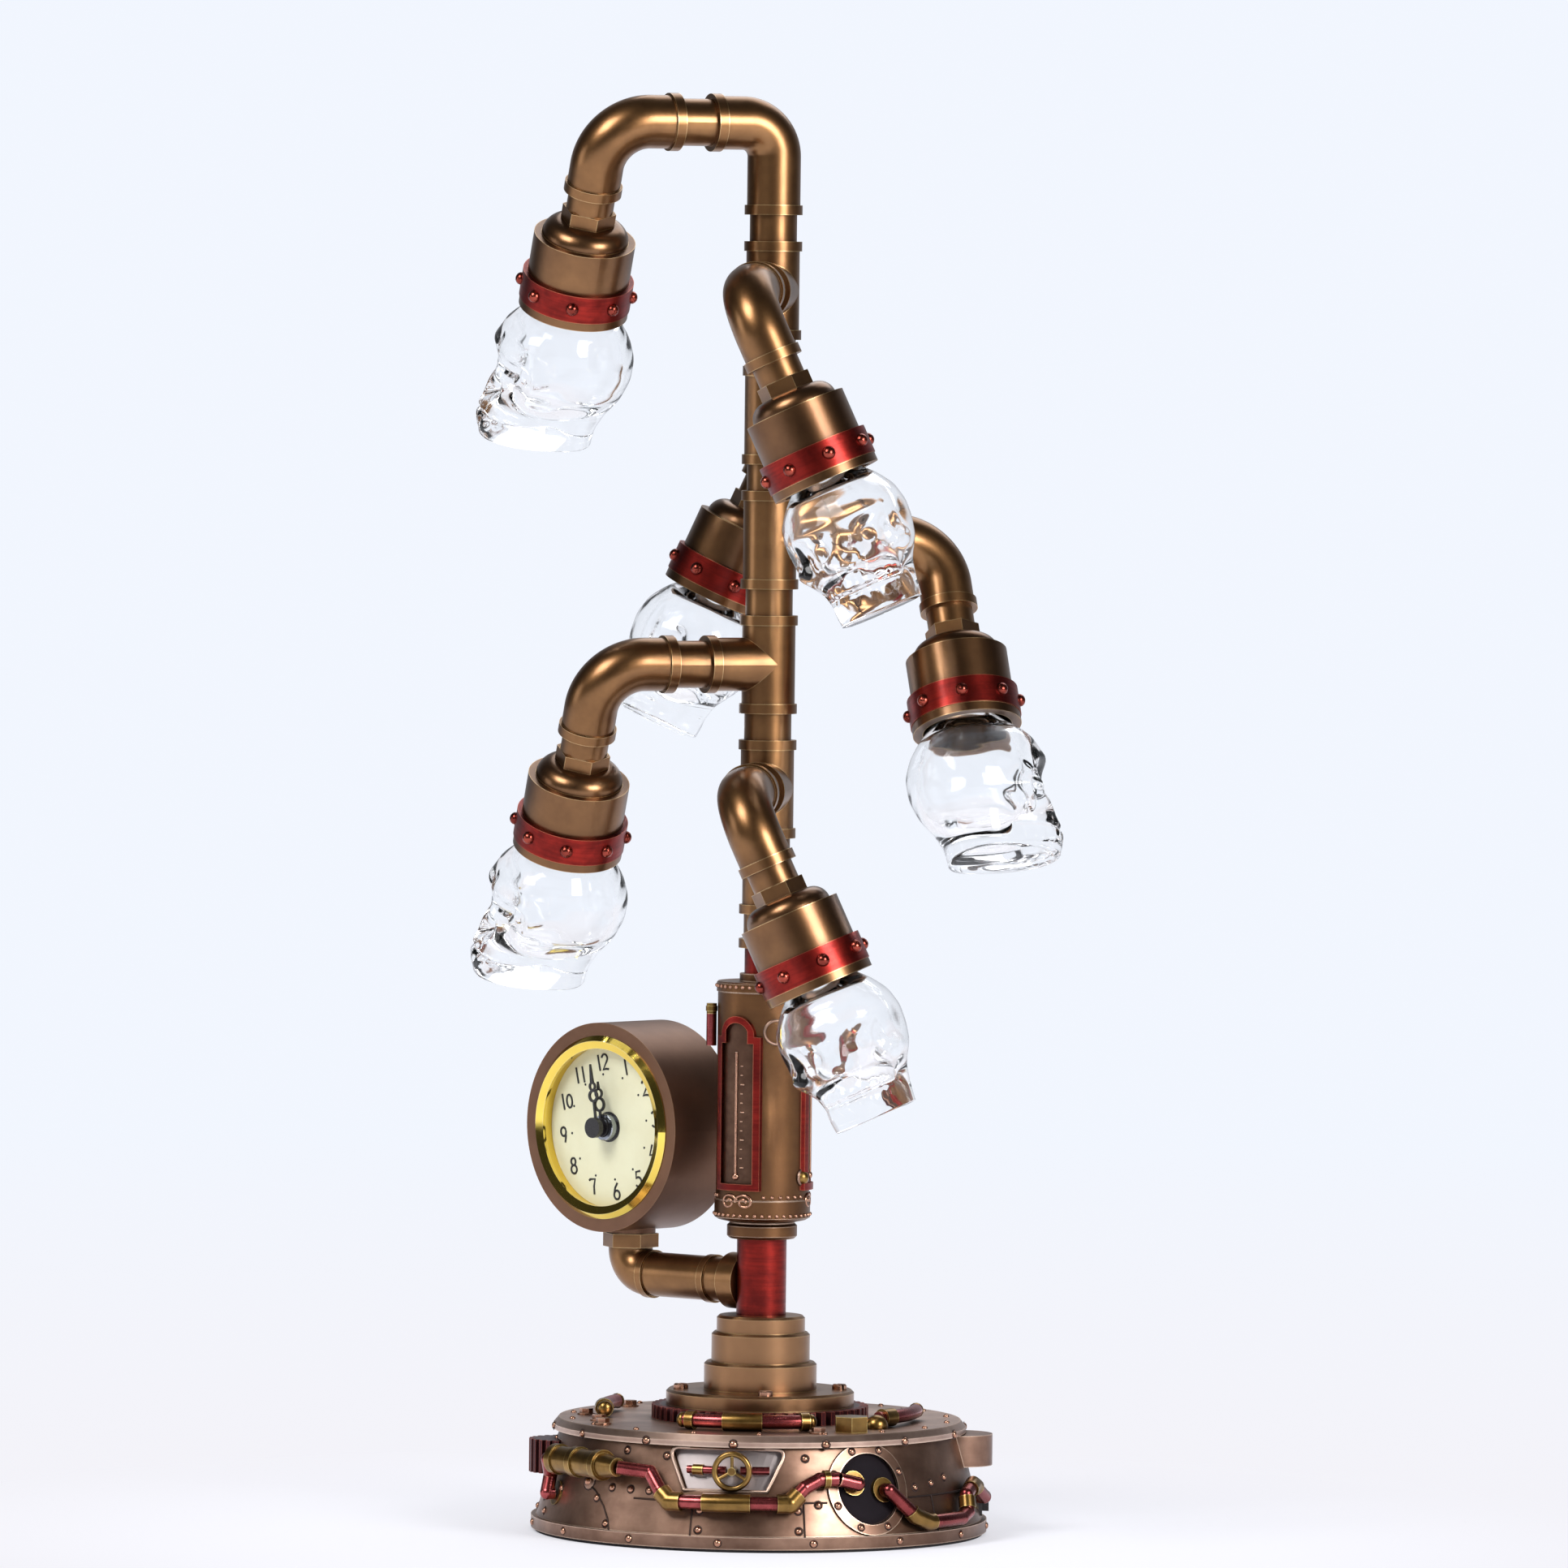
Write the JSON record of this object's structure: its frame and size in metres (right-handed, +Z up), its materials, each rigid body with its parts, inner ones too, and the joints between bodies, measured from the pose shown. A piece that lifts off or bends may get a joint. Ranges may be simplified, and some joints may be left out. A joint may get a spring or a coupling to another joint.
{
  "type": "pipe desk lamp with clock",
  "caption": "Desk lamp built of bronze pipe fittings on a round ornamented base, with swivelling pipe arms that end in glass skull lamps and a round clock on a bent pipe.",
  "frame": {"origin": "on the table under the middle of the round base, on the column's axis", "axes": "+Z up along the column; the lamp's front faces -Y, so +X is to the right of someone in front of it"},
  "size_m": [0.2334, 0.2042, 0.5602],
  "materials": {
    "bronze": "aged satin bronze",
    "pipe_bronze": "antique bronze, brushed",
    "copper_red": "red copper, brushed",
    "copper": "polished copper",
    "brass": "polished",
    "maroon": "dark maroon",
    "dark_metal": "dark satin",
    "felt": "felt",
    "black_plastic": "matt",
    "circuit_board": "board",
    "brown_metal": "matt brown",
    "gold": "polished gold",
    "cream_dial": "matt cream",
    "black_paint": "black paint",
    "skull_glass": "clear"
  },
  "bodies": {
    "stand": {"base_shell": "bronze", "base_floor": "dark_metal", "base_felt": "felt", "deck_plate": "bronze", "deck_gear": "maroon", "pedestal": "bronze", "column_tubes": "copper_red", "boiler": "bronze", "gauge_frames": "copper_red", "riser_fittings": "pipe_bronze", "pipe_nipples": "pipe_bronze", "top_elbow": "pipe_bronze", "clock_bracket": "pipe_bronze", "copper_pipes": "copper", "brass_fittings": "brass", "porthole_ring": "bronze", "porthole_plate": "dark_metal", "handwheel": "brass", "side_gear": "maroon", "switch_housing": "black_plastic", "cord_gland": "black_plastic", "led_driver": "circuit_board"},
    "switch": {"switch_rocker": "black_plastic"},
    "clock_head": {"clock_case": "brown_metal"},
    "clock_insert": {"clock_bezel": "gold", "clock_dial": "cream_dial", "clock_movement": "black_plastic"},
    "minutes": {"minute_hand": "black_paint"},
    "hours": {"hour_hand": "black_paint"},
    "top_arm": {"top_arm_elbow": "pipe_bronze", "top_arm_socket": "pipe_bronze", "top_arm_cup": "pipe_bronze", "top_arm_band": "copper_red", "top_arm_skull": "skull_glass"},
    "front_upper_arm": {"front_upper_arm_elbow": "pipe_bronze", "front_upper_arm_socket": "pipe_bronze", "front_upper_arm_cup": "pipe_bronze", "front_upper_arm_band": "copper_red", "front_upper_arm_skull": "skull_glass"},
    "back_arm": {"back_arm_elbow": "pipe_bronze", "back_arm_socket": "pipe_bronze", "back_arm_cup": "pipe_bronze", "back_arm_band": "copper_red", "back_arm_skull": "skull_glass"},
    "right_arm": {"right_arm_elbow": "pipe_bronze", "right_arm_socket": "pipe_bronze", "right_arm_cup": "pipe_bronze", "right_arm_band": "copper_red", "right_arm_skull": "skull_glass"},
    "left_arm": {"left_arm_elbow": "pipe_bronze", "left_arm_socket": "pipe_bronze", "left_arm_cup": "pipe_bronze", "left_arm_band": "copper_red", "left_arm_skull": "skull_glass"},
    "front_lower_arm": {"front_lower_arm_elbow": "pipe_bronze", "front_lower_arm_socket": "pipe_bronze", "front_lower_arm_cup": "pipe_bronze", "front_lower_arm_band": "copper_red", "front_lower_arm_skull": "skull_glass"}
  },
  "joints": [
    {"name": "top_arm_swivel", "type": "hinge", "parent": "stand", "child": "top_arm", "pos_m": [0, 0, 0.5489], "axis": [-0.866, -0.5, 0], "range_deg": [-30, 30]},
    {"name": "front_upper_arm_swivel", "type": "hinge", "parent": "stand", "child": "front_upper_arm", "pos_m": [0, 0, 0.484], "axis": [0, -1, 0], "range_deg": [-30, 30]},
    {"name": "back_arm_swivel", "type": "hinge", "parent": "stand", "child": "back_arm", "pos_m": [0, 0, 0.4355], "axis": [0, 1, 0], "range_deg": [-30, 30]},
    {"name": "right_arm_swivel", "type": "hinge", "parent": "stand", "child": "right_arm", "pos_m": [0, 0, 0.387], "axis": [0.866, 0.5, 0], "range_deg": [-30, 30]},
    {"name": "left_arm_swivel", "type": "hinge", "parent": "stand", "child": "left_arm", "pos_m": [0, 0, 0.3385], "axis": [-0.866, -0.5, 0], "range_deg": [-30, 30]},
    {"name": "front_lower_arm_swivel", "type": "hinge", "parent": "stand", "child": "front_lower_arm", "pos_m": [0, 0, 0.29], "axis": [0, -1, 0], "range_deg": [-30, 30]},
    {"name": "clock_swivel", "type": "hinge", "parent": "stand", "child": "clock_head", "pos_m": [-0.05759, 0.03325, 0.115], "axis": [0, 0, 1], "range_deg": [-20, 20]},
    {"name": "clock_insert_pull", "type": "slide", "parent": "clock_head", "child": "clock_insert", "axis": [-0.5736, -0.8192, 0], "range_m": [0, 0.03]},
    {"name": "minute_turn", "type": "hinge", "parent": "clock_insert", "child": "minutes", "pos_m": [-0.05759, 0.03325, 0.155], "axis": [0.5736, 0.8192, 0], "continuous": true},
    {"name": "hour_turn", "type": "hinge", "parent": "clock_insert", "child": "hours", "pos_m": [-0.05759, 0.03325, 0.155], "axis": [0.5736, 0.8192, 0], "continuous": true},
    {"name": "switch_rock", "type": "hinge", "parent": "stand", "child": "switch", "pos_m": [0.08356, 0.01473, 0.0114], "axis": [0, 0, 1], "range_deg": [-12, 0]}
  ],
  "couplings": [
    {"joint": "hour_turn", "follows": "minute_turn", "ratio": 0.083333}
  ]
}
